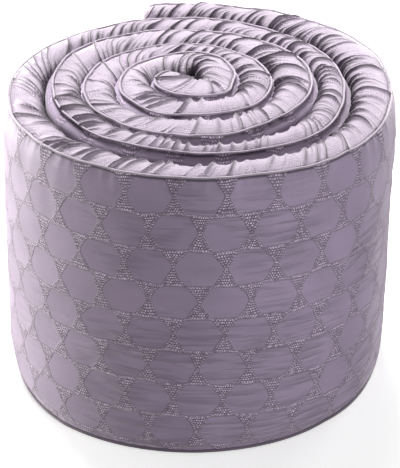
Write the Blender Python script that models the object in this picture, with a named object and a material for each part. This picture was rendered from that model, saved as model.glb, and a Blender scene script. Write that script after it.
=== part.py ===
"""A rolled crib bumper: one long padded strip, wound up and standing on its long edge.

The strip is quilted in hexagons on its outer face. A thin corded piping runs along both long edges of
that face. Its top edge is a soft crown, gathered into folds where the winding presses it short.
Metres, +Z up, origin under the middle of the roll, where it stands.
"""

import math
import random
from collections import namedtuple

import bmesh
import bpy
import numpy as np

MM = 0.001

# Driving dimensions of the strip
STRIP_HEIGHT = 0.300
PAD_THICKNESS = 0.042
FACE_BULGE = 0.006
CROWN_RISE = 0.003
STATION_STEP = 0.0172
CORE_REFINING = 1.5
LAYER_GAP = 0.0010
LAYER_LIFT = 0.006
CORE_GAP = 0.005
END_ROUNDING = 0.030
END_FULLNESS = 0.42
END_DRAW = 0.05

# Quilting of the outer face: hexagons in staggered rows, joined by small triangles
HEXAGON_PITCH = 0.046
HEXAGON_ROW = 0.03575
HEXAGON_PHASE = 0.0115
HEXAGON_PUFF = 0.0025
FIRST_SEAM = 0.0114
FACE_ROWS = 16

# Folds gathered into the crown
FOLD_DEPTH = 0.0045
FOLD_SCALLOP = 0.0035
FOLD_SEED = 11

# Piping
PIPING_RADIUS = 0.0016
PIPING_GAP = 0.0004
PIPING_LEAN = math.radians(30)
CORNER_INSET = 0.0015
CORNER_DROP = 0.004
FOOT_RISE = 0.0036

# How far the foot of the roll lies to the left of its top
LEAN = 0.004

# The winding, looked at from above, runs clockwise from the outer end, which is at the back.
# Radii of the outer face's top edge, in mm, a row for each turn.
Turn = namedtuple("Turn", "back back_right right front_right front front_left left back_left")
TURNS = (
    Turn(226, 210, 186, 185, 177.5, 180, 185, 192),
    Turn(185, 161, 140, 142, 132.5, 134, 142, 158),
    Turn(143, 127, 108, 98, 105, 107, 112, 115),
    Turn(103, 83, 69, 67, 67, 75, 77, 76),
    Turn(71, 46, 32.5, 35, 33, 38, 43, 37),
)
# How far the face's bottom edge is tucked in under it, in mm, around each turn.
FOOT_INSETS = Turn(5, 6, 7.5, 10.5, 1.5, -0.5, 5, 5)
RADIUS_BEFORE = 231
RADIUS_AFTER = 26
FIRST_TURN = -0.044
LAST_TURN = 4.9
# How far each turn is pushed up, in mm, where it passes the back.
RAISED = (0, 0, 4, 6, 12, 14)

CLOTH_COLOUR = (0.52, 0.46, 0.53, 1.0)
PIPING_COLOUR = (0.60, 0.54, 0.61, 1.0)

Section = namedtuple("Section", "depth height")


def clear_scene():
    for old in list(bpy.data.objects):
        bpy.data.objects.remove(old)


def new_collection(name):
    made = bpy.data.collections.new(name)
    bpy.context.scene.collection.children.link(made)
    return made


def cloth_material(name, colour, roughness):
    material = bpy.data.materials.new(name)
    material.use_nodes = True
    shader = material.node_tree.nodes["Principled BSDF"]
    shader.inputs["Base Color"].default_value = colour
    shader.inputs["Roughness"].default_value = roughness
    shader.inputs["Metallic"].default_value = 0.0
    return material


def radius_at(turn):
    """Radius of the wound line at a turn count, on a smooth curve through the table."""
    eighths = [RADIUS_BEFORE] + [radius for row in TURNS for radius in row] + [RADIUS_AFTER] * 2
    place = min(max(turn * 8, -0.99), len(eighths) - 4 + 0.99)
    low = math.floor(place)
    share = place - low
    a, b, c, d = (eighths[min(max(low + k, 0), len(eighths) - 1)] for k in range(0, 4))
    smooth = (
        2 * b
        + (c - a) * share
        + (2 * a - 5 * b + 4 * c - d) * share**2
        + (3 * b - a - 3 * c + d) * share**3
    )
    return smooth / 2 * MM


def foot_inset(turn):
    """How far the bottom edge is tucked in, by where it lies in the roll."""
    return float(np.interp(turn * 8 % 8, range(9), FOOT_INSETS + FOOT_INSETS[:1])) * MM


def raised_at(turn):
    return float(np.interp(turn, range(len(RAISED)), RAISED)) * MM


def wound_line():
    """Stations on the outer face's edge, each with its turn count and its length from the outer end.

    They are STATION_STEP apart, and closer together in the tight core.
    """
    turns = np.linspace(FIRST_TURN, LAST_TURN, 6000)
    angles = math.pi / 2 - 2 * math.pi * turns
    radii = np.array([radius_at(turn) for turn in turns])
    points = np.stack([radii * np.cos(angles), radii * np.sin(angles)], axis=1)
    steps = np.linalg.norm(np.diff(points, axis=0), axis=1)
    refined = np.interp(turns[1:], (3.0, LAST_TURN), (1.0, CORE_REFINING))
    along = np.concatenate([[0], np.cumsum(steps)])
    paced = np.concatenate([[0], np.cumsum(steps * refined)])
    stations = np.linspace(0, paced[-1], round(paced[-1] / STATION_STEP) + 1)
    line = np.stack([np.interp(stations, paced, points[:, k]) for k in range(2)], axis=1)
    return line, np.interp(stations, paced, turns), np.interp(stations, paced, along)


def inward_directions(line):
    """Unit directions from the outer face into the padding: to the right of the way it is wound."""
    ahead = np.gradient(line, axis=0)
    ahead /= np.linalg.norm(ahead, axis=1)[:, None]
    return np.stack([ahead[:, 1], -ahead[:, 0]], axis=1)


def crossing_distance(start, way, line):
    """Distances along a ray to each segment of the line, infinite where it misses."""
    a, b = line[:-1], line[1:]
    edge = b - a
    across = way[0] * edge[:, 1] - way[1] * edge[:, 0]
    offset = a - start
    with np.errstate(divide="ignore", invalid="ignore"):
        reach = (offset[:, 0] * edge[:, 1] - offset[:, 1] * edge[:, 0]) / across
        share = (offset[:, 0] * way[1] - offset[:, 1] * way[0]) / across
    return np.where((reach > 0.004) & (share >= 0) & (share <= 1), reach, np.inf)


def padding_room(line, turns, inward):
    """The room for the padding at each station, up to the next layer or to the middle of the core."""
    room = np.empty(len(line))
    for i, (start, way) in enumerate(zip(line, inward)):
        reach = crossing_distance(start, way, line)
        hit = int(np.argmin(reach))
        if turns[hit] - turns[i] > 0.8:
            room[i] = reach[hit] - HEXAGON_PUFF - LAYER_GAP
        else:
            room[i] = (reach[hit] - CORE_GAP) / 2 + FACE_BULGE
    pressed = np.minimum(room, PAD_THICKNESS + FACE_BULGE)
    lowest = np.array([pressed[max(0, i - 2) : i + 3].min() for i in range(len(pressed))])
    kernel = np.array([1, 2, 3, 2, 1]) / 9
    return np.convolve(np.pad(lowest, 2, mode="edge"), kernel, mode="valid")


def fold_valleys(count):
    """Which stations lie in a fold of the crown, and how deep: 0 for a ridge, up to 1."""
    chance = random.Random(FOLD_SEED)
    valleys = np.zeros(count + 8)
    place = 1
    while place < len(valleys):
        valleys[place] = chance.uniform(0.45, 1.0)
        place += chance.choice((2, 2, 3))
    return valleys


def face_bulge(height):
    away = min(abs(height / STRIP_HEIGHT - 0.5) * 2, 1)
    return FACE_BULGE * (1 - away**8)


def quilt_puff(along, height):
    """How far a hexagon of the quilting stands out: most at its middle, nothing at its seams."""
    row = (height - FIRST_SEAM) / HEXAGON_ROW
    shift = 0.5 * (math.floor(row) % 2)
    beside = math.cos(math.pi * ((along - HEXAGON_PHASE) / HEXAGON_PITCH - shift))
    above = math.sin(math.pi * row)
    return HEXAGON_PUFF * (beside * above) ** 2


def outer_rows():
    """Heights of the face's rows of points: at every seam of the quilting and halfway between."""
    return [FIRST_SEAM + HEXAGON_ROW * k / 2 for k in range(FACE_ROWS)]


def inner_depth(room, height):
    """How deep the padding is at a height, clear of the bulging face of the next layer."""
    return min(PAD_THICKNESS, room - face_bulge(height - LAYER_LIFT))


def section_at(i, marks, room, valleys, tucked):
    """The strip's cross-section at one station: depth into the roll and height, from the bottom corner up."""
    top = STRIP_HEIGHT
    depth = inner_depth(room, top - 0.008)
    points = [Section(tucked, FOOT_RISE)]
    for height in outer_rows():
        points.append(Section(-face_bulge(height) - quilt_puff(marks[i], height), height))
    points.append(Section(CORNER_INSET, top - CORNER_DROP))
    early, late = valleys[i], valleys[i + 1]
    points.append(Section(0.20 * depth, top + 0.3 * CROWN_RISE - 0.35 * early * FOLD_DEPTH))
    points.append(Section(0.50 * depth, top + CROWN_RISE - 0.8 * late * FOLD_DEPTH))
    points.append(Section(0.82 * depth, top - 0.002 - late * FOLD_DEPTH))
    points.append(Section(inner_depth(room, top - 0.013) - late * FOLD_SCALLOP, top - 0.013))
    points.append(Section(inner_depth(room, top - 0.040), top - 0.040))
    points.append(Section(inner_depth(room, 0.050), 0.050))
    foot = inner_depth(room, 0.008)
    points.append(Section(0.94 * foot, 0.008))
    points.append(Section(0.74 * foot, 0.0))
    points.append(Section(0.26 * foot + 0.5 * tucked, 0.0))
    return points


def end_fullness(along, length):
    """1 along the strip, falling towards END_FULLNESS where the padding is sewn shut at an end."""
    near = min(along, length - along) / END_ROUNDING
    if near >= 1:
        return 1.0
    return END_FULLNESS + (1 - END_FULLNESS) * math.sqrt(1 - (1 - near) ** 2)


class Winding:
    """Places a point of the strip, given by station, depth and height, in the roll."""

    def __init__(self):
        self.line, self.turns, self.marks = wound_line()
        self.inward = inward_directions(self.line)
        self.room = padding_room(self.line, self.turns, self.inward)
        self.centre = self.footprint_middle()

    def footprint_middle(self):
        half_cord = 2 * PIPING_RADIUS
        outside = self.line - self.inward * (FACE_BULGE + half_cord / 2)
        return (outside.min(axis=0) + outside.max(axis=0)) / 2 - (LEAN / 2, 0)

    def fullness(self, i):
        return end_fullness(self.marks[i], self.marks[-1])

    def place(self, i, section):
        fullness = self.fullness(i)
        middle = (self.room[i] - FACE_BULGE) / 2
        depth = middle + (section.depth - middle) * fullness
        x, y = self.line[i] + self.inward[i] * depth - self.centre
        x -= LEAN * (1 - section.height / STRIP_HEIGHT)
        drawn = 1 - END_DRAW * (1 - fullness) / (1 - END_FULLNESS)
        height = STRIP_HEIGHT / 2 + (section.height - STRIP_HEIGHT / 2) * drawn
        return x, y, height + raised_at(self.turns[i])


def padded_strip(winding, collection):
    """Lofts the cross-sections along the winding into one closed solid."""
    valleys = fold_valleys(len(winding.line))
    shape = bmesh.new()
    rings = []
    for i, room in enumerate(winding.room):
        section = section_at(i, winding.marks, room, valleys, foot_inset(winding.turns[i]))
        rings.append([shape.verts.new(winding.place(i, point)) for point in section])
    size = len(rings[0])
    for ring, following in zip(rings, rings[1:]):
        for k in range(size):
            after = (k + 1) % size
            shape.faces.new((ring[k], ring[after], following[after], following[k]))
    shape.faces.new(reversed(rings[0]))
    shape.faces.new(rings[-1])
    bmesh.ops.triangulate(shape, faces=shape.faces[:])
    bmesh.ops.recalc_face_normals(shape, faces=shape.faces[:])
    mesh = bpy.data.meshes.new("padded_strip")
    shape.to_mesh(mesh)
    shape.free()
    strip = bpy.data.objects.new("padded_strip", mesh)
    strip.data.materials.append(cloth_material("quilted_cloth", CLOTH_COLOUR, 0.85))
    collection.objects.link(strip)
    return strip


def cord_seat(depth, height, upward):
    """Where a cord's middle lies: beside the corner given, clear of it."""
    away = PIPING_RADIUS + PIPING_GAP
    return Section(
        depth - away * math.sin(PIPING_LEAN),
        height + upward * away * math.cos(PIPING_LEAN),
    )


def piping(name, winding, seats, material, collection):
    """A thin cord along one corner of the outer face, between the rounded ends of the strip."""
    curve = bpy.data.curves.new(name, "CURVE")
    curve.dimensions = "3D"
    curve.twist_mode = "Z_UP"
    curve.bevel_depth = PIPING_RADIUS
    curve.bevel_resolution = 0
    curve.use_fill_caps = True
    full = [i for i in range(len(winding.line)) if winding.fullness(i) == 1]
    spline = curve.splines.new("POLY")
    spline.points.add(len(full) - 1)
    for i, point in zip(full, spline.points):
        point.co = (*winding.place(i, seats[i]), 1.0)
    cord = bpy.data.objects.new(name, curve)
    cord.data.materials.append(material)
    collection.objects.link(cord)
    return cord


def main():
    clear_scene()
    parts = new_collection("crib_bumper")
    winding = Winding()
    padded_strip(winding, parts)
    cloth = cloth_material("piping_cloth", PIPING_COLOUR, 0.8)
    top = cord_seat(CORNER_INSET, STRIP_HEIGHT - CORNER_DROP, 1)
    piping("piping_top", winding, [top] * len(winding.turns), cloth, parts)
    feet = [cord_seat(foot_inset(turn), FOOT_RISE, -1) for turn in winding.turns]
    piping("piping_bottom", winding, feet, cloth, parts)


main()
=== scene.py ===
"""Looks of a rolled crib bumper: a quilted, padded strip wound up and standing on its long edge.

The strip is drawn as the cloth it is made of: the quilted outer panel, the band gathered over its top
edge, the plain back that faces the roll's middle, and the piping along both edges of the outer panel.
Lengths are in millimetres while a shape is worked out, and in metres once it is a mesh.
"""

import math
from collections import namedtuple

import bpy
import numpy as np
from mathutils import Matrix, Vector

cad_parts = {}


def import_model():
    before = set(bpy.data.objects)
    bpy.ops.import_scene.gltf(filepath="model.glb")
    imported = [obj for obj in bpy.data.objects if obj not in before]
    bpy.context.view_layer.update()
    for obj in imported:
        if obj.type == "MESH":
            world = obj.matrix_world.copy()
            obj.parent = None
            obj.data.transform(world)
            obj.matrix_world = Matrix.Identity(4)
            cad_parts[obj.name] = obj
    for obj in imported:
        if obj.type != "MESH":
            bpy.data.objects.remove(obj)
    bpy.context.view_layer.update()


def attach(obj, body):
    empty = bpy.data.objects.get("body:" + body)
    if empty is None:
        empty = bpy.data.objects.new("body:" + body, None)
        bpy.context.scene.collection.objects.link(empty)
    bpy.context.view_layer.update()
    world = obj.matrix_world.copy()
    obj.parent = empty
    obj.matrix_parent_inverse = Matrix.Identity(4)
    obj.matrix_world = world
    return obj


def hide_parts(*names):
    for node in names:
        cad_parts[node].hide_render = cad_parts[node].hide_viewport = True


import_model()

MM = 0.001

# The strip, its quilting and its piping, in mm, as in the solids' source
STRIP_HEIGHT = 300
PAD_THICKNESS = 42
FACE_BULGE = 6
LAYER_GAP = 1.0
LAYER_LIFT = 6
CORE_GAP = 5
HEXAGON_PITCH = 46
HEXAGON_ROW = 35.75
HEXAGON_PHASE = 11.5
HEXAGON_PUFF = 2.5
FIRST_SEAM = 11.4
PIPING_RADIUS = 1.6
PIPING_GAP = 0.4
PIPING_LEAN = math.radians(30)
CORNER_INSET = 1.5
CORNER_DROP = 4
FOOT_RISE = 3.6
LEAN = 4
STATION_STEP = 17.2

# The winding, as in the solids' source. It runs clockwise from the outer end, which is at the back. The
# radii are those of the outer face's top edge, in mm, at eighths of a turn, with a row for each turn.
TURN_RADII = (
    (226, 210, 186, 185, 177.5, 180, 185, 192),
    (185, 161, 140, 142, 132.5, 134, 142, 158),
    (143, 127, 108, 98, 105, 107, 112, 115),
    (103, 83, 69, 67, 67, 75, 77, 76),
    (71, 46, 32.5, 35, 33, 38, 43, 37),
)
RADIUS_BEFORE = 231
RADIUS_AFTER = 26
FIRST_TURN = -0.044
LAST_TURN = 4.9
PATH_POINTS = 6000
CORE_FROM = 3.0
CORE_REFINING = 1.5
RAISED = (0, 0, 4, 6, 12, 14)

# What the looks have of their own, in mm: the rounding of the strip's ends, and how far the face's bottom
# edge is tucked in at eighths of a turn, which is less at the right than in the solids.
END_ROUNDING = 18
FOOT_INSETS = (5, 4, 0, 8.5, 1.5, -1.5, 5, 5)

# The gap between the rims of two layers, wide at the front: turns from the outer end, and mm there
BAND_GAPS = (
    (0, 9), (0.3, 10), (0.44, 15), (0.5, 20), (0.57, 20), (0.63, 19), (0.75, 9), (0.85, 6),
    (1.2, 8), (1.27, 8), (1.33, 16), (1.38, 20), (1.44, 18), (1.5, 13.5), (1.56, 4), (1.9, 4), (3.2, 4.5),
)

# The inner turns' panel is the plainer one. It puffs out under its top seam, from this turn on.
INNER_FROM = (0.95, 1.1)
INNER_BULGE = 3.5

# The wrinkles of the panel fade over these lengths from the outer end, because its left side is smooth.
RUFFLED_TO = (740, 820)
RUFFLES_LOST = 0.8


# ---------------------------------------------------------------- noise

# Every noise has a seed of its own, which is a number that no other noise is given.
LATTICE = 257


def noise(x, y, seed):
    """Smooth noise from -1 to 1, one bump to a unit."""
    table = np.random.default_rng(seed).uniform(-1, 1, (LATTICE, LATTICE))
    x, y = np.broadcast_arrays(np.asarray(x, float), np.asarray(y, float))
    i, j = np.floor(x).astype(int), np.floor(y).astype(int)
    u, v = x - i, y - j
    u, v = u * u * (3 - 2 * u), v * v * (3 - 2 * v)
    i0, i1 = i % LATTICE, (i + 1) % LATTICE
    j0, j1 = j % LATTICE, (j + 1) % LATTICE
    near = table[i0, j0] * (1 - u) + table[i1, j0] * u
    far = table[i0, j1] * (1 - u) + table[i1, j1] * u
    return near * (1 - v) + far * v


def waver(along, size, length, seed):
    """Noise along the strip alone, of a size, with bumps of a length."""
    return size * noise(along / length, 0.5, seed)


def swell(s, z, size, length, height, seed):
    """Noise over the panel, of a size, with bumps of a length and a height."""
    return size * noise(s / length, z / height, seed)


def smoothstep(low, high, x):
    t = np.clip((x - low) / (high - low), 0, 1)
    return t * t * (3 - 2 * t)


def cubic(a, b, c, d, t):
    """A smooth curve between b and c, which also heeds the values before and after them."""
    steep = 2 * a - 5 * b + 4 * c - d
    turned = 3 * b - a - 3 * c + d
    return (2 * b + (c - a) * t + steep * t**2 + turned * t**3) / 2


# ---------------------------------------------------------------- the winding


def radius_at(turns):
    radii = [radius for row in TURN_RADII for radius in row]
    eighths = np.array([RADIUS_BEFORE, *radii, RADIUS_AFTER, RADIUS_AFTER], float)
    last = len(eighths) - 1
    place = np.clip(turns * 8, -0.99, last - 3 + 0.99)
    low = np.floor(place).astype(int)
    near = [eighths[np.clip(low + k, 0, last)] for k in range(4)]
    return cubic(*near, place - low)


def foot_inset(turns):
    """How far the face's bottom edge is tucked in, by where it lies in the roll."""
    return np.interp(np.mod(turns * 8, 8), range(9), FOOT_INSETS + FOOT_INSETS[:1])


def footprint_middle(line, inward):
    outside = line - inward * (FACE_BULGE + PIPING_RADIUS)
    return (outside.min(axis=0) + outside.max(axis=0)) / 2 - np.array([LEAN / 2, 0])


def inward_of(line):
    ahead = np.gradient(line, axis=0)
    ahead /= np.linalg.norm(ahead, axis=1)[:, None]
    return np.stack([ahead[:, 1], -ahead[:, 0]], axis=1)


def winding_path():
    """The wound line finely sampled, with its turn count and its length from the outer end.

    The last result is the same length, counted faster in the core, where the stations lie closer.
    """
    turns = np.linspace(FIRST_TURN, LAST_TURN, PATH_POINTS)
    angles = math.pi / 2 - 2 * math.pi * turns
    radii = radius_at(turns)
    points = np.stack([radii * np.cos(angles), radii * np.sin(angles)], axis=1)
    steps = np.linalg.norm(np.diff(points, axis=0), axis=1)
    along = np.concatenate([[0], np.cumsum(steps)])
    refined = np.interp(turns[1:], (CORE_FROM, LAST_TURN), (1.0, CORE_REFINING))
    paced = np.concatenate([[0], np.cumsum(steps * refined)])
    return points, turns, along, paced


NEAREST_LAYER = 4
TURNS_TO_NEXT = 0.8


def reach_inwards(line, turns, inward):
    """How far it is from each station to the next layer, and whether there is one before the core."""
    every = line[::3]
    every_turns = turns[::3]
    a, b = every[:-1], every[1:]
    edge = b - a
    reaches = np.empty(len(line))
    layered = np.empty(len(line), bool)
    for i, (start, way) in enumerate(zip(line, inward)):
        offset = a - start
        across = way[0] * edge[:, 1] - way[1] * edge[:, 0]
        with np.errstate(divide="ignore", invalid="ignore"):
            reach = (offset[:, 0] * edge[:, 1] - offset[:, 1] * edge[:, 0]) / across
            share = (offset[:, 0] * way[1] - offset[:, 1] * way[0]) / across
        reach = np.where((reach > NEAREST_LAYER) & (share >= 0) & (share <= 1), reach, np.inf)
        hit = int(np.argmin(reach))
        reaches[i] = reach[hit]
        layered[i] = every_turns[hit] - turns[i] > TURNS_TO_NEXT
    return reaches, layered


def averaged(values, reach):
    kernel = np.hanning(2 * reach + 3)[1:-1]
    return np.convolve(np.pad(values, reach, mode="edge"), kernel / kernel.sum(), mode="valid")


def lowest_near(values, reach):
    padded = np.pad(values, reach, mode="edge")
    return np.lib.stride_tricks.sliding_window_view(padded, 2 * reach + 1).min(axis=1)


def read_at(where, known, pairs):
    """Pairs of numbers known at some places, read at others."""
    return np.stack([np.interp(where, known, pairs[:, k]) for k in range(2)], axis=1)


FINE_STATIONS = 1800
ROOM_SMOOTHING = 14
CROWN_DIPS = 5
CROWN_SMOOTHING = 7
EDGE_ZONE = (200, 297)
END_DRAW = 0.06


class Winding:
    """The wound line, sampled at a spacing that may change along it."""

    points, every_turn, every_along, paced = winding_path()
    length = every_along[-1]
    coarse = read_at(np.linspace(0, paced[-1], round(paced[-1] / STATION_STEP) + 1), paced, points)
    centre = footprint_middle(coarse, inward_of(coarse))
    fine = np.linspace(0, length, FINE_STATIONS)
    fine_line = read_at(fine, every_along, points)
    fine_turns = np.interp(fine, every_along, every_turn)
    reaches, layered = reach_inwards(fine_line, fine_turns, inward_of(fine_line))
    half_core = (reaches - CORE_GAP) / 2 + FACE_BULGE
    pressed = np.where(layered, reaches - HEXAGON_PUFF - LAYER_GAP, half_core)
    roomy = np.minimum(pressed, PAD_THICKNESS + FACE_BULGE)
    fine_room = averaged(lowest_near(roomy, ROOM_SMOOTHING), ROOM_SMOOTHING)
    band_gap = np.interp(fine_turns, *zip(*BAND_GAPS))
    touching = np.where(layered, reaches - band_gap, half_core - FACE_BULGE)
    fine_crown = averaged(lowest_near(np.minimum(touching, PAD_THICKNESS), CROWN_DIPS), CROWN_SMOOTHING)

    def __init__(self, along):
        self.along = along
        self.line = read_at(along, self.every_along, self.points)
        self.turns = np.interp(along, self.every_along, self.every_turn)
        way = read_at(along, self.every_along, inward_of(self.points))
        self.inward = way / np.linalg.norm(way, axis=1)[:, None]
        self.room = np.interp(along, self.fine, self.fine_room)
        self.crown = np.interp(along, self.fine, self.fine_crown)
        self.raised = np.interp(self.turns, range(len(RAISED)), RAISED)
        self.angle = math.pi / 2 - 2 * math.pi * self.turns
        near = np.clip(np.minimum(along, self.length - along) / END_ROUNDING, 0, 1)
        self.fullness = np.sqrt(1 - (1 - near) ** 2)

    def place(self, depth, height):
        """Points in metres, for depths and heights given per station and row."""
        at_edge = smoothstep(*EDGE_ZONE, height)
        wobble = at_edge * self.edge_wobble()[:, None]
        middle = ((self.room - FACE_BULGE) / 2)[:, None]
        full = self.fullness[:, None]
        depth = middle + (depth - middle) * full + wobble * full
        drawn = 1 - END_DRAW * (1 - full)
        lift = at_edge * self.edge_lift()[:, None]
        up = STRIP_HEIGHT / 2 + (height + lift - STRIP_HEIGHT / 2) * drawn + self.raised[:, None]
        flat = self.line - self.centre
        lean = LEAN * (1 - height / STRIP_HEIGHT)
        x = flat[:, 0, None] + self.inward[:, 0, None] * depth - lean
        y = flat[:, 1, None] + self.inward[:, 1, None] * depth
        return np.stack([x, y, up], axis=2) * MM

    def edge_wobble(self):
        """How the top edge wavers in and out where the folds push it."""
        return waver(self.along, 1.0, 30, 3) + waver(self.along, 0.6, 13, 4)

    def edge_lift(self):
        """How the top edge wavers up and down."""
        return waver(self.along, 1.3, 37, 5) + waver(self.along, 0.6, 14, 6)


# ---------------------------------------------------------------- cross-section

FACE_SQUARENESS = 8
TOP_SQUARENESS = 14
FOOT_SQUARENESS = 12


def face_bulge(height):
    away = np.minimum(np.abs(height / STRIP_HEIGHT - 0.5) * 2, 1)
    return FACE_BULGE * (1 - away**FACE_SQUARENESS)


def inner_depth(room, height):
    return np.minimum(PAD_THICKNESS, room - face_bulge(height - LAYER_LIFT))


def outer_depth(turns, height):
    """Depth of the outer face, below 0 where it bulges out of the line of its edges."""
    half = STRIP_HEIGHT / 2
    away = np.minimum(np.abs(height - half) / (half - CORNER_DROP), 1)
    inset = np.where(height > half, CORNER_INSET, foot_inset(turns)[:, None])
    bulge = np.where(height > half, away**TOP_SQUARENESS, away**FOOT_SQUARENESS)
    below = STRIP_HEIGHT - CORNER_DROP - height
    puffed = smoothstep(0, 7, below) * (1 - smoothstep(8, 24, below))
    inner = smoothstep(*INNER_FROM, turns)[:, None]
    return inset - (FACE_BULGE + inset) * (1 - bulge) - INNER_BULGE * inner * puffed


# The first four spans of the cross-section go from the top seam to the inner rim of the crown.
RIM_ROW = 4


def back_controls(winding):
    """Control points of the cross-section from the top seam, over the crown, down the back, to the foot."""
    top = STRIP_HEIGHT
    room, crown = winding.room, winding.crown
    foot = inner_depth(room, 8)
    tucked = foot_inset(winding.turns)
    lots = (
        (CORNER_INSET + 0 * room, top - CORNER_DROP),
        (0.15 * crown, top - 1.5),
        (0.47 * crown, top + 1.8),
        (0.80 * crown, top - 0.2),
        (crown, top - 11),
        (inner_depth(room, top - 40), top - 40),
        (inner_depth(room, 150), 150),
        (inner_depth(room, 50), 50),
        (0.94 * foot, 8),
        (0.74 * foot, 0),
        (0.26 * foot + 0.5 * tucked, 0),
        (tucked, FOOT_RISE),
    )
    depths = np.stack([depth for depth, _ in lots], axis=1)
    heights = np.array([height for _, height in lots], float)
    return depths, heights


def along_controls(values, rows):
    """A smooth curve through the control values (the last axis), read at row places."""
    last = values.shape[-1] - 1
    low = np.clip(np.floor(rows).astype(int), 0, last - 1)
    near = [values[..., np.clip(low + k, 0, last)] for k in (-1, 0, 1, 2)]
    return cubic(*near, rows - low)


# ---------------------------------------------------------------- relief


def pushed(points, amount):
    """The grid of points moved along its own normals by an amount in mm."""
    along = np.gradient(points, axis=0)
    across = np.gradient(points, axis=1)
    normal = np.cross(along, across)
    normal /= np.maximum(np.linalg.norm(normal, axis=2), 1e-12)[..., None]
    return points + normal * amount[..., None] * MM


# The distance to a slanting seam, over the distance to it measured along the row
SLANT = 0.845
SEAM_WIDTH = 1.8
DOME_RADIUS = 21
PUFF_SHOWN = 0.95

# Odd numbers that make each hexagon's height look random
COLUMN_NUMBER, ROW_NUMBER, UNEVENNESS = 7.31, 3.17, 12.9898


def hexagon_distance(along, height):
    """Distance to the nearest seam, if it's in a hexagon, how far from its centre, and its number."""
    row = (height - FIRST_SEAM) / HEXAGON_ROW
    k = np.floor(row)
    f = row - k
    shift = 0.5 * np.mod(k, 2)
    cell = (along - HEXAGON_PHASE) / HEXAGON_PITCH - shift
    centre = np.round(cell)
    beside = cell - centre
    half_width = 0.5 - 0.5 * np.abs(f - 0.5)
    to_row = np.minimum(f, 1 - f) * HEXAGON_ROW
    to_slant = (half_width - np.abs(beside)) * HEXAGON_PITCH * SLANT
    inside = to_slant > 0
    from_centre = np.hypot(beside * HEXAGON_PITCH, (f - 0.5) * HEXAGON_ROW)
    number = centre * COLUMN_NUMBER + k * ROW_NUMBER
    return np.minimum(to_row, np.abs(to_slant)), inside, from_centre, number


def quilting(along, height):
    """Relief of the quilting: domed hexagons of uneven height, between seams that are drawn in."""
    distance, inside, from_centre, number = hexagon_distance(along, height)
    edge = 1 - np.exp(-distance / SEAM_WIDTH)
    dome = (1 - np.minimum(from_centre / DOME_RADIUS, 1) ** 2) ** 1.5
    varied = 0.8 + 0.3 * np.sin(number * UNEVENNESS)
    hexagons = np.where(inside, (0.07 * edge + 0.18 * dome) * varied, 0.03 * edge)
    return HEXAGON_PUFF * PUFF_SHOWN * hexagons


CREASE_MARGIN = 150
TIGHTENING = 18
CREASE_ONSET = 0.45
CLEFT_WIDTH = 0.13


def crease_table(shortest, longest, seed, latest):
    """Creases along the strip: where each lies, how deep it is, and how far in over the crown it starts.

    They lie further apart where the winding is tight, and a crease with more cloth beside it is deeper.
    """
    chance = np.random.default_rng(seed)
    places = [-float(CREASE_MARGIN)]
    while places[-1] < Winding.length + CREASE_MARGIN:
        radius = float(np.interp(places[-1], Winding.every_along, radius_at(Winding.every_turn)))
        tight = 1 + TIGHTENING / radius
        places.append(places[-1] + shortest * (longest / shortest) ** chance.uniform(0, 1) * tight)
    places = np.array(places)
    steps = np.diff(places, prepend=places[0] - longest)
    roomy = np.convolve(steps, (0.5, 0.5), mode="same") / longest
    depths = chance.uniform(0.35, 0.75, len(places)) + 0.35 * np.minimum(roomy, 1)
    return places, depths, chance.uniform(-0.25, latest, len(places))


def between(places, s):
    """Which place comes before each length along the strip, and the share of the way to the next."""
    which = np.clip(np.searchsorted(places, s, side="right") - 1, 0, len(places) - 2)
    return which, np.clip((s - places[which]) / (places[which + 1] - places[which]), 0, 1)


def valley(share, width):
    """Depth beside a crease, 1 in the crease: a wide hollow with a cleft in its middle."""
    return 0.5 * (1 - np.minimum(share / width, 1)) ** 2 + 0.5 * np.exp(-((share / CLEFT_WIDTH) ** 2))


def creased(q, v, table, width):
    """Relief of a set of creases, from 0 on the cloth between them to -1 in a deep one.

    With it come the crease number with the share of the way to the next, and how deep it is there.
    """
    places, depth, start = table
    which, share = between(places, q)
    before, after = (
        depth[k] * smoothstep(start[k], start[k] + CREASE_ONSET, v) for k in (which, which + 1)
    )
    drop = before * valley(share, width) + after * valley(1 - share, width)
    return -drop, which + share, before * (1 - share) + after * share


def puckers(s, shortest, longest, seed):
    """Small round gathers along a seam, from 0 to 1."""
    which, share = between(crease_table(shortest, longest, seed, latest=0)[0], s)
    return np.sqrt(4 * share * (1 - share)) * (0.5 + 0.5 * np.mod(which * 0.618, 1))


# ---------------------------------------------------------------- meshes


def grid_object(name, points, maps, bake_lengths, material):
    """A mesh over a grid of points: along the strip first, across it second.

    Each map has a number along the strip and one across it for each point, and "cloth" is in metres.
    """
    stations, rows = points.shape[:2]
    mesh = bpy.data.meshes.new(name)
    mesh.vertices.add(stations * rows)
    mesh.vertices.foreach_set("co", points.astype(np.float32).ravel())
    ids = np.arange(stations * rows).reshape(stations, rows)
    corners = (ids[:-1, :-1], ids[1:, :-1], ids[1:, 1:], ids[:-1, 1:])
    quads = np.stack(corners, axis=2).reshape(-1, 4)
    mesh.loops.add(quads.size)
    mesh.loops.foreach_set("vertex_index", quads.ravel().astype(np.int32))
    mesh.polygons.add(len(quads))
    mesh.polygons.foreach_set("loop_start", (np.arange(len(quads)) * 4).astype(np.int32))
    mesh.polygons.foreach_set("use_smooth", np.ones(len(quads), bool))
    mesh.update(calc_edges=True)
    spread = {title: np.stack(pair, axis=2).reshape(-1, 2)[quads] for title, pair in maps.items()}
    spread["OFBake"] = unrolled(spread["cloth"], bake_lengths)
    for title, values in spread.items():
        layer = mesh.uv_layers.new(name=title, do_init=False)
        layer.uv.foreach_set("vector", values.astype(np.float32).ravel())
    mesh.validate()
    made = bpy.data.objects.new(name, mesh)
    made.data.materials.append(material)
    bpy.context.scene.collection.objects.link(made)
    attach(made, "root")
    return made


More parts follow.
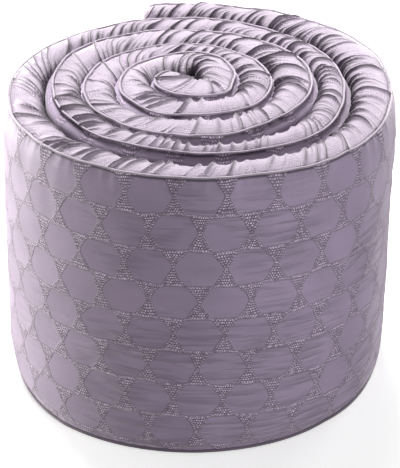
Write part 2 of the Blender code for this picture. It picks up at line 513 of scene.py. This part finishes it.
def unrolled(corners, lengths):
    """A map for the bake: the strip cut into lengths, laid beside each other to fill the square."""
    along, across = corners[..., 0], corners[..., 1]
    along = along - along.min()
    longest = along.max() / lengths
    which = np.minimum(along.min(axis=1, keepdims=True) // longest, lengths - 1)
    u = (along - which * longest) / (longest * 1.012)
    v = (across - across.min()) / np.ptp(across)
    return np.stack([0.003 + 0.994 * u, (which + 0.03 + 0.94 * v) / lengths], axis=2)


def spaced(start, end, step):
    return np.linspace(start, end, max(2, round((end - start) / step) + 1))


def end_spacing(stations):
    """Adds stations where the strip's ends are rounded."""
    extra = END_ROUNDING * (1 - np.cos(np.linspace(0, math.pi / 2, 12))) / 2
    length = Winding.length
    return np.unique(np.concatenate([stations, extra[extra < END_ROUNDING], length - extra]))


# ---------------------------------------------------------------- pieces

SEAM_PUCKER = 2.2
WRINKLE_RISE = 0.7


def outer_panel(name, span, step, heights, bake_lengths, material):
    """The quilted face of the strip over a span of its length."""
    along = end_spacing(spaced(*span, step))
    along = along[(along >= span[0]) & (along <= span[1])]
    winding = Winding(along)
    s, z = np.meshgrid(along, heights, indexing="ij")
    base = winding.place(outer_depth(winding.turns, z), z)
    below = STRIP_HEIGHT - CORNER_DROP - z
    above = z - FOOT_RISE
    fade = smoothstep(0, 10, below) * smoothstep(0, 12, above)
    relief = quilting(s + swell(s, z, 1.6, 31, 23, 28), z + swell(s, z, 1.2, 29, 31, 29)) * fade
    relief += swell(s, z, 0.9, 130, 90, 21) * fade
    relief += swell(s, z, 0.5, 52, 40, 22) * fade
    wrinkle = noise(s / 34 + swell(s, z, 0.4, 60, 25, 23), z / 5.0, 24)
    ruffled = smoothstep(-0.5, 0.5, noise(s / 70, z / 50, 25) - (z - 150) / 400)
    ruffled *= 1 - RUFFLES_LOST * smoothstep(*RUFFLED_TO, s)
    relief += WRINKLE_RISE * wrinkle * fade * ruffled
    gathers = puckers(s + swell(s, z, 2.5, 20, 12, 26), shortest=7, longest=15, seed=27)
    edge = np.exp(-below / 6) + np.exp(-above / 5)
    outside = 1 - 0.7 * smoothstep(*INNER_FROM, winding.turns)[:, None]
    edge *= smoothstep(0, 3, below) * smoothstep(0, 3, above) * outside
    relief += SEAM_PUCKER * (gathers - 0.45) * edge
    relief *= winding.fullness[:, None]
    maps = {"cloth": (s * MM, z * MM)}
    return grid_object(name, pushed(base, relief), maps, bake_lengths, material)


FOLD_SLANT = 33


def shear_at(angle, along):
    """How far a fold of the crown slants back, as a tangent, by where it lies in the roll."""
    turned = 20 * np.cos(angle + math.radians(20))
    slant = FOLD_SLANT - turned + 8 * np.maximum(-np.sin(angle), 0)
    return np.tan(np.radians(slant + waver(along, 9, 75, 30)))


FOLDS = crease_table(shortest=7, longest=23, seed=32, latest=0.65)
FOLD_DEPTH = 3.9
FOLD_WIDTH = 0.5
PLEATS = crease_table(shortest=5, longest=11, seed=34, latest=0.8)
PLEAT_DEPTH = 1.6
PLEAT_WIDTH = 0.75


def crown_relief(s, rows, winding, depths, heights):
    """Folds of the gathered band: deep at its inner rim, fading to its outer seam and down the back.

    With the relief come the lengths along the strip, slanted as the folds are, and the maps that follow
    the folds and the finer pleats.
    """
    v = rows[None, :] / RIM_ROW
    angle = winding.angle[:, None]
    at_back = 0.5 + 0.5 * np.sin(angle)
    at_front = np.maximum(-np.sin(angle), 0)
    drop = np.maximum(STRIP_HEIGHT - 9 - heights, 0)
    across = np.minimum(depths, winding.crown[:, None])
    shear = shear_at(winding.angle, winding.along)[:, None]
    q = s + shear * (across + (0.3 + 0.9 * at_back) * drop)
    q = q + 7 * noise(s / 33, v * 1.6, 31) * smoothstep(0.05, 0.9, v)
    end = 1.10 + 0.10 * at_back
    fade = 1 - smoothstep(end - 0.06, end + 0.05, v)
    main, fold, fold_mark = creased(q, v, FOLDS, FOLD_WIDTH)
    finer = q + 0.18 * across + 2.0 * noise(s / 15, v * 2.2, 33)
    fine, pleat, pleat_mark = creased(finer, v, PLEATS, PLEAT_WIDTH)
    patch = smoothstep(-0.7, 0.1, noise(s / 36, v * 1.5, 35))
    calmer = 0.45 * np.maximum(np.cos(angle - 2.3), 0) ** 2
    deeper = 1 + 0.1 * at_back + 0.1 * smoothstep(3.8, 4.3, winding.turns)[:, None] - calmer
    deeper = deeper * (1 + 0.35 * noise(s / 58, v * 0.9, 39))
    relief = (FOLD_DEPTH * deeper * main + PLEAT_DEPTH * patch * fine) * fade * smoothstep(0, 50, s)
    gathers = puckers(s + 2 * noise(s / 20, v * 3, 36), shortest=4.5, longest=9, seed=37)
    relief += 0.7 * (gathers - 0.5) * (np.exp(-v / 0.14) * smoothstep(0, 0.03, v))
    relief += (1.1 + 0.7 * at_back) * noise(s / 33, v * 1.5, 38) * smoothstep(0.1, 0.5, v) * fade
    # How strongly each crease is drawn, its painted shade and its bump, less at the front and the sides
    plainer = 1 - (0.4 * at_front + 0.3 * np.cos(angle) ** 2)
    folds = (fold, fold_mark * plainer * fade)
    pleats = (pleat, pleat_mark * patch * plainer * fade)
    return relief, q, folds, pleats


def crossed(depth, height):
    """The length of cloth across the strip, in metres, from the bottom seam of the outer face on."""
    arc = np.concatenate([[0], np.cumsum(np.hypot(np.diff(depth.mean(0)), np.diff(height[0])))])
    return (arc[None, :] + 0 * depth + STRIP_HEIGHT) * MM


# The band ends at this control row, down between the layers, and the plain back goes on from there. The
# other two are how many rows of points each of them has.
BAND_END = 5
BAND_ROWS = 44
BACK_ROWS = 26


def band(name, span, step, bake_lengths, material):
    """The top edge over a span of the strip, gathered from the top seam and some way down the back."""
    along = end_spacing(spaced(0, Winding.length, step))
    along = along[(along >= span[0]) & (along <= span[1])]
    winding = Winding(along)
    rows = np.linspace(0, BAND_END, BAND_ROWS)
    depths, heights = back_controls(winding)
    depth = along_controls(depths, rows)
    height = along_controls(heights, rows)[None, :] + 0 * depth
    s = along[:, None] + 0 * depth
    relief, q, folds, pleats = crown_relief(s, rows, winding, depth, height)
    points = pushed(winding.place(depth, height), relief * winding.fullness[:, None])
    across = crossed(depth, height)
    maps = {"cloth": (s * MM, across), "folds": folds, "pleats": pleats, "grain": (q * MM, across)}
    return grid_object(name, points, maps, bake_lengths, material)


def plain_back(name, step, bake_lengths, material):
    """The strip's back and underside, which face the roll's middle and the floor."""
    along = end_spacing(spaced(0, Winding.length, step))
    winding = Winding(along)
    depths, heights = back_controls(winding)
    rows = np.linspace(BAND_END, len(heights) - 1, BACK_ROWS)
    depth = along_controls(depths, rows)
    height = np.maximum(along_controls(heights, rows), 0)[None, :] + 0 * depth
    s = along[:, None] + 0 * depth
    points = winding.place(depth, height)
    maps = {"cloth": (s * MM, crossed(depth, height))}
    return grid_object(name, points, maps, bake_lengths, material)


PIPING_ENDS = 9
PIPING_SIDES = 10
PIPING_BAKE_LENGTHS = 24


def piping(name, height, upward, thickness, step, material):
    """The corded piping at one edge of the outer panel, as a tube that thickens and thins a little."""
    along = spaced(PIPING_ENDS, Winding.length - PIPING_ENDS, step)
    winding = Winding(along)
    away = PIPING_RADIUS + PIPING_GAP * upward
    inset = CORNER_INSET + 0 * along if upward > 0 else foot_inset(winding.turns)
    depth = inset - away * math.sin(PIPING_LEAN)
    up = height + upward * away * math.cos(PIPING_LEAN)
    turn = np.linspace(0, 2 * math.pi, PIPING_SIDES + 1)
    radius = PIPING_RADIUS * (thickness + waver(along, 0.06, 9, 41))[:, None]
    ring_depth = depth[:, None] + radius * np.cos(turn)[None, :]
    ring_height = up + upward * radius * np.sin(turn)[None, :]
    points = winding.place(ring_depth, ring_height)
    points[:, -1] = points[:, 0]
    s = along[:, None] + 0 * ring_depth
    around = turn[None, :] * PIPING_RADIUS + 0 * ring_depth
    maps = {"cloth": (s * MM, around * MM)}
    return grid_object(name, points, maps, PIPING_BAKE_LENGTHS, material)


# ---------------------------------------------------------------- materials


class Maths:
    """Writes sums as shader nodes."""

    def __init__(self, tree):
        self.tree = tree

    def __call__(self, operation, *inputs):
        node = self.tree.nodes.new("ShaderNodeMath")
        node.operation = operation
        for socket, value in zip(node.inputs, inputs):
            if isinstance(value, (int, float)):
                socket.default_value = value
            else:
                self.tree.links.new(value, socket)
        return node.outputs[0]

    def ramp(self, value, low, high):
        """0 at low, 1 at high, smooth between."""
        node = self.tree.nodes.new("ShaderNodeMapRange")
        node.interpolation_type = "SMOOTHSTEP"
        self.tree.links.new(value, node.inputs["Value"])
        node.inputs["From Min"].default_value = low
        node.inputs["From Max"].default_value = high
        return node.outputs["Result"]

    def beyond(self, value, limit, factor=1):
        """How far a value is past a limit, times a factor."""
        past = self("SUBTRACT", value, limit)
        return past if factor == 1 else self("MULTIPLY", past, factor)

    def from_middle(self, value, pitch):
        """Distance to the middle of the step of a pitch that a value is in."""
        step = self("DIVIDE", value, pitch)
        return self.beyond(self("SUBTRACT", step, self("FLOOR", step)), 0.5, pitch)

    def long_way(self, a, b):
        """The longest side of a right triangle."""
        return self("SQRT", self("ADD", self("MULTIPLY", a, a), self("MULTIPLY", b, b)))


STITCH_PITCH = 2.3
STITCH_ROW = HEXAGON_ROW / 14
SLANT_STITCH = 2.5


def stitch_masks(m, s, z):
    """The quilting's stitches, and the hollows between them where shade is painted, from lengths in mm.

    The triangles between the hexagons are filled with staggered stitches, and a line of stitches
    follows each seam.
    """
    raised = m("SUBTRACT", z, FIRST_SEAM)
    row = m("DIVIDE", raised, HEXAGON_ROW)
    k = m("FLOOR", row)
    shift = m("MULTIPLY", m("FLOORED_MODULO", k, 2), 0.5)
    cell = m("SUBTRACT", m("DIVIDE", m("SUBTRACT", s, HEXAGON_PHASE), HEXAGON_PITCH), shift)
    beside = m("ABSOLUTE", m("SUBTRACT", cell, m("ROUND", cell)))
    middle = m("ABSOLUTE", m("SUBTRACT", m("SUBTRACT", row, k), 0.5))
    narrowing = m("MULTIPLY", m("POWER", m("MULTIPLY", middle, 2), 1.25), 0.215)
    half_width = m("SUBTRACT", 0.49, narrowing)
    to_slant = m("MULTIPLY", m("SUBTRACT", half_width, beside), HEXAGON_PITCH * SLANT)
    to_row = m("MULTIPLY", m("SUBTRACT", 0.5, middle), HEXAGON_ROW)
    line_slant = m("ABSOLUTE", to_slant)
    in_triangle = m.ramp(to_slant, -0.9, -1.7)
    odd_row = m("FLOORED_MODULO", m("FLOOR", m("DIVIDE", raised, STITCH_ROW)), 2)
    across = m.from_middle(m("ADD", s, m("MULTIPLY", odd_row, STITCH_PITCH / 2)), STITCH_PITCH)
    up = m.from_middle(raised, STITCH_ROW)
    grid = m.ramp(m.long_way(across, up), 1.08, 0.6)
    slanted = m.ramp(m.long_way(line_slant, m.from_middle(z, SLANT_STITCH)), 0.95, 0.5)
    level = m.ramp(m.long_way(to_row, across), 0.95, 0.5)
    on_seams = m("MULTIPLY", m("MAXIMUM", slanted, level), 0.8)
    dots = m("MAXIMUM", m("MULTIPLY", in_triangle, grid), on_seams)
    pressed = m("MAXIMUM", in_triangle, m.ramp(m("MINIMUM", line_slant, to_row), 1.8, 0.6))
    return dots, m("MULTIPLY", pressed, m("SUBTRACT", 1, dots))


# The tint of the painted shade in hollows, creases and gaps, and of the stitches' lighter colour
HOLLOW_TINT = (1, 0.81, 1.07)

# Where the band turns down between two layers, as a length of cloth from the bottom seam
RIM = STRIP_HEIGHT + 35

# How wide the painted shade of a crease is: its dark line, the shade beside it and its mouth at the rim, as
# shares of the way to the next crease, and how dark each is
CREASE_SPREADS = ((0.10, 0.01), (0.22, 0.0), (0.40, 0.08))
LINE_DARK, SHADE_DARK, MOUTH_DARK = 0.04, 0.3, 0.1


class ClothLook:
    """The shader of one cloth, built up from layers of colour and relief."""

    def __init__(self, name, base):
        self.material = bpy.data.materials.new(name)
        self.material.use_nodes = True
        self.tree = self.material.node_tree
        self.shader = self.tree.nodes["Principled BSDF"]
        self.base = base
        self.m = Maths(self.tree)
        self.uv = self.map_named("cloth")
        along, across = self.parts(self.uv)
        self.s = self.m("MULTIPLY", along, 1000)
        self.z = self.m("MULTIPLY", across, 1000)
        self.normal = None
        self.weave()

    def map_named(self, title):
        node = self.tree.nodes.new("ShaderNodeUVMap")
        node.uv_map = title
        return node.outputs[0]

    def parts(self, vector):
        node = self.tree.nodes.new("ShaderNodeSeparateXYZ")
        self.tree.links.new(vector, node.inputs[0])
        return node.outputs[0], node.outputs[1]

    def noise(self, vector, **settings):
        node = self.tree.nodes.new("ShaderNodeTexNoise")
        for key, value in settings.items():
            node.inputs[key].default_value = value
        self.tree.links.new(vector, node.inputs["Vector"])
        return node.outputs

    def stretched(self, vector, along, across):
        node = self.tree.nodes.new("ShaderNodeMapping")
        node.inputs["Scale"].default_value = (along, across, 1)
        self.tree.links.new(vector, node.inputs["Vector"])
        return node.outputs[0]

    def lit(self, share):
        """The cloth's own colour, made lighter or darker."""
        return tuple(c * share for c in self.base) + (1,)

    def tint(self, share, colour, under=None):
        """Mixes in a colour, where the share says so, over the colour so far or the one given."""
        node = self.tree.nodes.new("ShaderNodeMix")
        node.data_type = "RGBA"
        self.tree.links.new(share, node.inputs[0])
        if under is None:
            self.tree.links.new(self.colour, node.inputs[6])
        else:
            node.inputs[6].default_value = under
        node.inputs[7].default_value = colour
        self.colour = node.outputs[2]

    def shade(self, mask, share, level):
        """Mixes in painted shade, the tint of the hollows at a level of light; above 1 it lightens instead.
        """
        colour = tuple(c * (self.base[0] * level) for c in HOLLOW_TINT) + (1,)
        self.tint(self.m("MULTIPLY", mask, share), colour)

    def emboss(self, height, distance, strength):
        node = self.tree.nodes.new("ShaderNodeBump")
        node.inputs["Distance"].default_value = distance
        node.inputs["Strength"].default_value = strength
        self.tree.links.new(height, node.inputs["Height"])
        if self.normal is not None:
            self.tree.links.new(self.normal, node.inputs["Normal"])
        self.normal = node.outputs["Normal"]

    def weave(self):
        """Soft clouds of colour, the slubs of the yarn, and the cloth's gloss."""
        place = self.tree.nodes.new("ShaderNodeNewGeometry").outputs["Position"]
        cloudy = self.noise(place, Scale=22.0, Detail=3.0)["Fac"]
        slubs = self.noise(self.uv, Scale=800.0, Detail=2.0)["Fac"]
        self.tint(self.m.ramp(cloudy, 0.3, 0.7), self.lit(1.07), under=self.lit(0.93))
        self.tint(self.m("MULTIPLY", self.m.ramp(slubs, 0.45, 0.75), 0.5), self.lit(0.84))
        self.emboss(slubs, 0.0004, 0.35)
        rough = self.m("ADD", self.m("MULTIPLY", cloudy, 0.12), 0.62)
        self.tree.links.new(rough, self.shader.inputs["Roughness"])
        self.shader.inputs["Sheen Weight"].default_value = 0.4
        self.shader.inputs["Sheen Roughness"].default_value = 0.45
        self.shader.inputs["Sheen Tint"].default_value = (1.0, 0.97, 1.0, 1.0)
        self.shader.inputs["Specular IOR Level"].default_value = 0.35

    def wrinkles(self):
        """Fine level wrinkles in patches, more of them low down, painted shade in their dips and under the
        top seam.
        """
        m = self.m
        ripple = self.noise(self.stretched(self.uv, 22, 160), Scale=1.0, Detail=1.5, Distortion=0.4)["Fac"]
        patches = self.noise(self.uv, Scale=14.0, Detail=1.0)["Fac"]
        lower = m("SUBTRACT", patches, m.beyond(self.z, 150, 0.0008))
        ruffled = m("SUBTRACT", 1.0, m("MULTIPLY", m.ramp(self.s, *RUFFLED_TO), RUFFLES_LOST))
        here = m("MULTIPLY", m.ramp(lower, 0.36, 0.58), ruffled)
        dips = m("MULTIPLY", m.ramp(ripple, 0.60, 0.32), here)
        # Painted shade in the wrinkles' dips
        self.tint(m("MULTIPLY", dips, 0.5), self.lit(0.62))
        self.emboss(m("SUBTRACT", 1, dips), 0.0018, 0.8)
        # Painted shade in a dark line just under the top seam
        under = m.ramp(self.z, STRIP_HEIGHT - 6.8, STRIP_HEIGHT - 5)
        self.tint(m("MULTIPLY", under, 0.8), self.lit(0.10))

    def stitches(self, strength):
        """The quilting's silky stitches, a little out of line and of uneven weight, with painted shade
        between them.
        """
        m = self.m
        sway = self.tree.nodes.new("ShaderNodeSeparateColor")
        self.tree.links.new(self.noise(self.uv, Scale=48.0, Detail=2.0)["Color"], sway.inputs[0])
        s, z = (
            m("ADD", length, m.beyond(sway.outputs[k], 0.5, 7)) for k, length in enumerate((self.s, self.z))
        )
        dots, hollows = stitch_masks(m, s, z)
        uneven = self.noise(self.uv, Scale=260.0, Detail=1.0)["Fac"]
        dots = m("MULTIPLY", dots, m.ramp(uneven, 0.30, 0.62))
        # Painted shade in the pressed hollows between the stitches
        self.shade(hollows, 0.85 * strength, 0.42)
        # The stitches' lighter colour: the silk's own colour and a painted highlight
        self.shade(dots, strength, 2.35)
        self.emboss(m("SUBTRACT", dots, hollows), 0.0008, 0.6 * strength)

    def creases(self, title, strength):
        """Painted shade in creases, from the map that follows them: the dark line, the shade beside it, the
        wide mouth.
        """
        m = self.m
        number, depth = self.parts(self.map_named(title))
        away = m("SUBTRACT", 0.5, m("ABSOLUTE", m("SUBTRACT", m("FRACT", number), 0.5)))
        mark = m.ramp(depth, 0.1, 0.8)
        line, shade, mouth = (
            m("MULTIPLY", mark, m.ramp(away, outer, inner)) for outer, inner in CREASE_SPREADS
        )
        # Painted shade: the dark mouth of the crease at the rim, the shade beside it and its dark line
        at_rim = m("MULTIPLY", mouth, m.ramp(self.z, RIM - 17, RIM))
        self.shade(at_rim, 0.9 * strength, MOUTH_DARK)
        self.shade(shade, 0.55 * strength, SHADE_DARK)
        self.shade(line, strength, LINE_DARK)
        self.emboss(m("SUBTRACT", 1, m("ADD", line, shade)), 0.0014, 0.7 * strength)

    def gathers(self):
        """Painted shade on the band's flank between two layers and beside its seam, and its fine grain."""
        m = self.m
        flank = m.ramp(self.z, RIM - 6, RIM + 6)
        at_seam = m.ramp(self.z, STRIP_HEIGHT + 3.2, STRIP_HEIGHT + 1.2)
        # Painted shade on the flank down between two layers and beside the top seam
        self.shade(m("MAXIMUM", flank, m("MULTIPLY", at_seam, 0.7)), 0.9, 0.1)
        grain = self.stretched(self.map_named("grain"), 210, 38)
        ripple = self.noise(grain, Scale=1.0, Detail=1.0, Distortion=0.3)["Fac"]
        cut = m.ramp(m("ABSOLUTE", m("SUBTRACT", ripple, 0.5)), 0.07, 0.0)
        # Painted shade in the grain's fine creases
        self.tint(m("MULTIPLY", cut, 0.10), self.lit(0.35))
        self.emboss(m("ADD", ripple, m("MULTIPLY", cut, -0.2)), 0.0012, 0.5)
        rough_weave = self.noise(self.uv, Scale=520.0, Detail=1.0)["Fac"]
        self.tint(m("MULTIPLY", m.ramp(rough_weave, 0.35, 0.65), 0.3), self.lit(0.6))
        self.emboss(rough_weave, 0.0009, 0.6)

    def finished(self):
        self.tree.links.new(self.colour, self.shader.inputs["Base Color"])
        self.tree.links.new(self.normal, self.shader.inputs["Normal"])
        return self.material


def plain_cloth(name, base):
    return ClothLook(name, base).finished()


def panel_cloth(name, base, stitched):
    look = ClothLook(name, base)
    look.wrinkles()
    look.stitches(stitched)
    return look.finished()


def band_cloth(name, base, stitched):
    look = ClothLook(name, base)
    look.stitches(stitched)
    look.creases("folds", 1.0)
    look.creases("pleats", 0.5)
    look.gathers()
    return look.finished()


# ---------------------------------------------------------------- stage

FLOOR_HALF = 12
FLOOR_GREY = 0.8
FLOOR_GLOW = 0.6


def floor_material():
    material = bpy.data.materials.new("floor")
    material.use_nodes = True
    shader = material.node_tree.nodes["Principled BSDF"]
    shader.inputs["Base Color"].default_value = (FLOOR_GREY, FLOOR_GREY, FLOOR_GREY, 1)
    shader.inputs["Roughness"].default_value = 0.9
    shader.inputs["Specular IOR Level"].default_value = 0.1
    shader.inputs["Emission Color"].default_value = (1, 1, 1, 1)
    shader.inputs["Emission Strength"].default_value = FLOOR_GLOW
    return material


def floor():
    """A pale floor that glows a little, as in a studio, but throws no light on the roll."""
    corners = [(x * FLOOR_HALF, y * FLOOR_HALF, 0) for x, y in ((-1, -1), (1, -1), (1, 1), (-1, 1))]
    mesh = bpy.data.meshes.new("floor")
    mesh.from_pydata(corners, [], [(0, 1, 2, 3)])
    made = bpy.data.objects.new("floor", mesh)
    made.data.materials.append(floor_material())
    made.visible_diffuse = False
    made.visible_glossy = False
    bpy.context.scene.collection.objects.link(made)


Softbox = namedtuple("Softbox", "name place target width depth watts colour")
SOFTBOXES = (
    Softbox("top", (-0.28, 0.93, 2.0), (0, 0, 0.25), 0.95, 0.75, 88, (1, 0.99, 0.97)),
    Softbox("left_back", (-2.4, 1.0, 0.12), (0, 0, 0.12), 2.6, 0.24, 165, (1, 0.99, 0.93)),
    Softbox("right_back", (1.6, 2.05, 0.3), (0, 0, 0.15), 0.8, 0.5, 52, (1, 0.99, 0.96)),
    Softbox("front_fill", (1.75, -1.95, 0.4), (0, 0, 0.2), 1.6, 0.7, 38, (1, 1, 1)),
)


def place_softbox(box):
    light = bpy.data.lights.new(box.name, "AREA")
    light.shape = "RECTANGLE"
    light.size = box.width
    light.size_y = box.depth
    light.energy = box.watts
    light.color = box.colour
    made = bpy.data.objects.new(box.name, light)
    made.location = box.place
    made.rotation_euler = (Vector(box.target) - Vector(box.place)).to_track_quat("-Z", "Y").to_euler()
    bpy.context.scene.collection.objects.link(made)


LIGHT_BELOW = 0.04
LIGHT_ABOVE = 0.19


def world():
    """Even light, weaker from under the horizon than from over it."""
    made = bpy.data.worlds.new("studio")
    made.use_nodes = True
    tree = made.node_tree
    way = tree.nodes.new("ShaderNodeTexCoord")
    parts = tree.nodes.new("ShaderNodeSeparateXYZ")
    tree.links.new(way.outputs["Generated"], parts.inputs[0])
    strength = tree.nodes.new("ShaderNodeMapRange")
    tree.links.new(parts.outputs["Z"], strength.inputs["Value"])
    strength.inputs["From Min"].default_value = -0.4
    strength.inputs["From Max"].default_value = 0.3
    strength.inputs["To Min"].default_value = LIGHT_BELOW
    strength.inputs["To Max"].default_value = LIGHT_ABOVE
    background = tree.nodes["Background"]
    background.inputs["Color"].default_value = (1, 1, 1, 1)
    tree.links.new(strength.outputs[0], background.inputs["Strength"])
    bpy.context.scene.world = made


CAMERA_DISTANCE = 2.0
CAMERA_ELEVATION = math.radians(28.75)
CAMERA_AIM = 0.15
SENSOR_WIDTH = 36
FOCAL_PIXELS = 2000
LONG_SIDE_PIXELS = 468
SHIFT_PIXELS = (0.5, -6.4)


def camera():
    data = bpy.data.cameras.new("camera")
    data.sensor_width = SENSOR_WIDTH
    data.lens = FOCAL_PIXELS / LONG_SIDE_PIXELS * data.sensor_width
    data.shift_x = SHIFT_PIXELS[0] / LONG_SIDE_PIXELS
    data.shift_y = SHIFT_PIXELS[1] / LONG_SIDE_PIXELS
    made = bpy.data.objects.new("camera", data)
    aim = Vector((-Winding.centre[0] * MM, -Winding.centre[1] * MM, CAMERA_AIM))
    back = Vector((0, -math.cos(CAMERA_ELEVATION), math.sin(CAMERA_ELEVATION)))
    made.location = aim + back * CAMERA_DISTANCE
    made.rotation_euler = (-back).to_track_quat("-Z", "Y").to_euler()
    bpy.context.scene.collection.objects.link(made)
    bpy.context.scene.camera = made


# ---------------------------------------------------------------- the whole

# The outer turn is drawn finer than the rest, and is taken to end just past a full turn. The panel of the
# inner turns shows only above this height.
OUTER_TURN_END = 1.06
BAND_OVERLAP = 0.5
SEEN_FROM = 230

PANEL_COLOUR = (0.385, 0.305, 0.435)
# Same cloth as the panel, lighter: painted light on the inner turns' sidewalls between the layers
INNER_PANEL_COLOUR = (0.42, 0.34, 0.465)
# Same cloth, paler and greyer: painted light for the sheen and the stronger light on the band's top
BAND_COLOUR = (0.447, 0.376, 0.472)
BACK_COLOUR = (0.385, 0.31, 0.42)
PIPING_COLOUR = (0.44, 0.375, 0.46)
# The bottom piping in a dark copy of the piping's colour: painted contact shadow at the floor
SHADOW_PAINTED_PIPING_COLOUR = (0.15, 0.12, 0.16)


def main():
    cloth = panel_cloth("quilted_cloth_looks", PANEL_COLOUR, 0.92)
    inner_cloth = panel_cloth("inner_cloth_painted_light_looks", INNER_PANEL_COLOUR, 0.7)
    crown = band_cloth("band_cloth_looks", BAND_COLOUR, 0.45)
    plain = plain_cloth("back_cloth_looks", BACK_COLOUR)
    trim = plain_cloth("piping_looks", PIPING_COLOUR)
    shadow_painted_trim = plain_cloth("bottom_piping_painted_shadow_looks", SHADOW_PAINTED_PIPING_COLOUR)
    length = Winding.length
    outer_end = float(np.interp(OUTER_TURN_END, Winding.every_turn, Winding.every_along))
    outer_span = (0, outer_end + BAND_OVERLAP)
    inner_span = (outer_end - BAND_OVERLAP, length)
    low, high = FOOT_RISE, STRIP_HEIGHT - CORNER_DROP
    heights = spaced(low, high, step=2.25)
    unseen = spaced(low, SEEN_FROM, step=9)[:-1]
    inner_heights = np.concatenate([unseen, spaced(SEEN_FROM, high, step=2.2)])
    pieces = [
        outer_panel("quilted_panel_outer_turn", (0, outer_end), 1.95, heights, 3, cloth),
        outer_panel("quilted_panel_inner_turns", (outer_end, length), 2.6, inner_heights, 3, inner_cloth),
        band("gathered_band_outer_turn", outer_span, 1.15, 4, crown),
        band("gathered_band_inner_turns", inner_span, 1.25, 6, crown),
        plain_back("plain_back", 4, 4, plain),
    ]
    top = piping("top_piping", high, upward=1, thickness=0.7, step=1.95, material=trim)
    bottom = piping("bottom_piping", low, upward=-1, thickness=1.0, step=3, material=shadow_painted_trim)
    for piece in pieces:
        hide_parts("padded_strip")
    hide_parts("piping_top")
    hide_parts("piping_bottom")
    floor()
    for box in SOFTBOXES:
        place_softbox(box)
    world()
    camera()
    scene = bpy.context.scene
    scene.view_settings.view_transform = "Standard"
    scene.view_settings.look = "None"


main()
